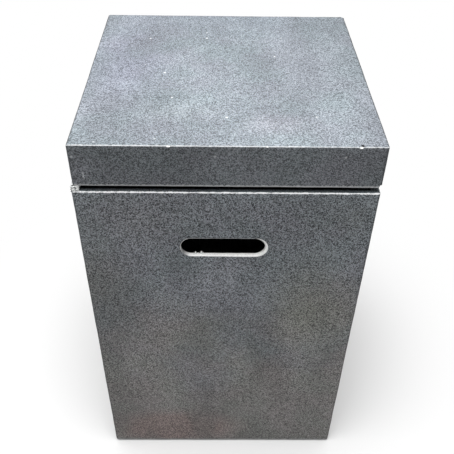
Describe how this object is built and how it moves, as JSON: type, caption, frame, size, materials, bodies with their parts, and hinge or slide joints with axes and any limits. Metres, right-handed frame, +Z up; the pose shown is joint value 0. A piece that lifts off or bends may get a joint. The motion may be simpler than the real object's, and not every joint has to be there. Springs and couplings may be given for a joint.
{
  "type": "gas cylinder cover table",
  "caption": "Square concrete cover for an upright gas cylinder, with hand slots, screw feet and a lift-off lid that serves as a side table.",
  "frame": {"origin": "on the floor under the centre of the body, with the feet screwed in", "axes": "+Z up, the front wall faces -Y and the wall with the hose port faces +Y"},
  "size_m": [0.39, 0.39, 0.6472],
  "materials": {
    "cast_concrete": "matte, fine-grained",
    "crumb_rubber": "matte",
    "black_nylon": "satin",
    "black_rubber": "matte",
    "zinc_steel": "zinc plated",
    "brass": "plain"
  },
  "bodies": {
    "cover_body": {"body_shell": "cast_concrete", "lid_bumper_front_left": "crumb_rubber", "lid_bumper_front_right": "crumb_rubber", "lid_bumper_rear_left": "crumb_rubber", "lid_bumper_rear_right": "crumb_rubber", "hose_port_trim": "black_rubber", "foot_insert_front_left": "brass", "foot_insert_front_right": "brass", "foot_insert_rear_left": "brass", "foot_insert_rear_right": "brass"},
    "lid": {"lid_shell": "cast_concrete", "lid_guide_front_left": "black_nylon", "lid_guide_front_right": "black_nylon", "lid_guide_rear_left": "black_nylon", "lid_guide_rear_right": "black_nylon", "guide_screw_front_left": "zinc_steel", "guide_screw_front_right": "zinc_steel", "guide_screw_rear_left": "zinc_steel", "guide_screw_rear_right": "zinc_steel", "guide_insert_front_left": "brass", "guide_insert_front_right": "brass", "guide_insert_rear_left": "brass", "guide_insert_rear_right": "brass"},
    "foot_front_left": {"foot_stem_front_left": "zinc_steel", "foot_pad_front_left": "black_rubber"},
    "foot_front_right": {"foot_stem_front_right": "zinc_steel", "foot_pad_front_right": "black_rubber"},
    "foot_rear_left": {"foot_stem_rear_left": "zinc_steel", "foot_pad_rear_left": "black_rubber"},
    "foot_rear_right": {"foot_stem_rear_right": "zinc_steel", "foot_pad_rear_right": "black_rubber"}
  },
  "joints": [
    {"name": "lid_lift", "type": "slide", "parent": "cover_body", "child": "lid", "axis": [0, 0, 1], "range_m": [0, 0.15]},
    {"name": "foot_screw_front_left", "type": "slide", "parent": "cover_body", "child": "foot_front_left", "axis": [0, 0, -1], "range_m": [0, 0.012]},
    {"name": "foot_screw_front_right", "type": "slide", "parent": "cover_body", "child": "foot_front_right", "axis": [0, 0, -1], "range_m": [0, 0.012]},
    {"name": "foot_screw_rear_left", "type": "slide", "parent": "cover_body", "child": "foot_rear_left", "axis": [0, 0, -1], "range_m": [0, 0.012]},
    {"name": "foot_screw_rear_right", "type": "slide", "parent": "cover_body", "child": "foot_rear_right", "axis": [0, 0, -1], "range_m": [0, 0.012]}
  ]
}
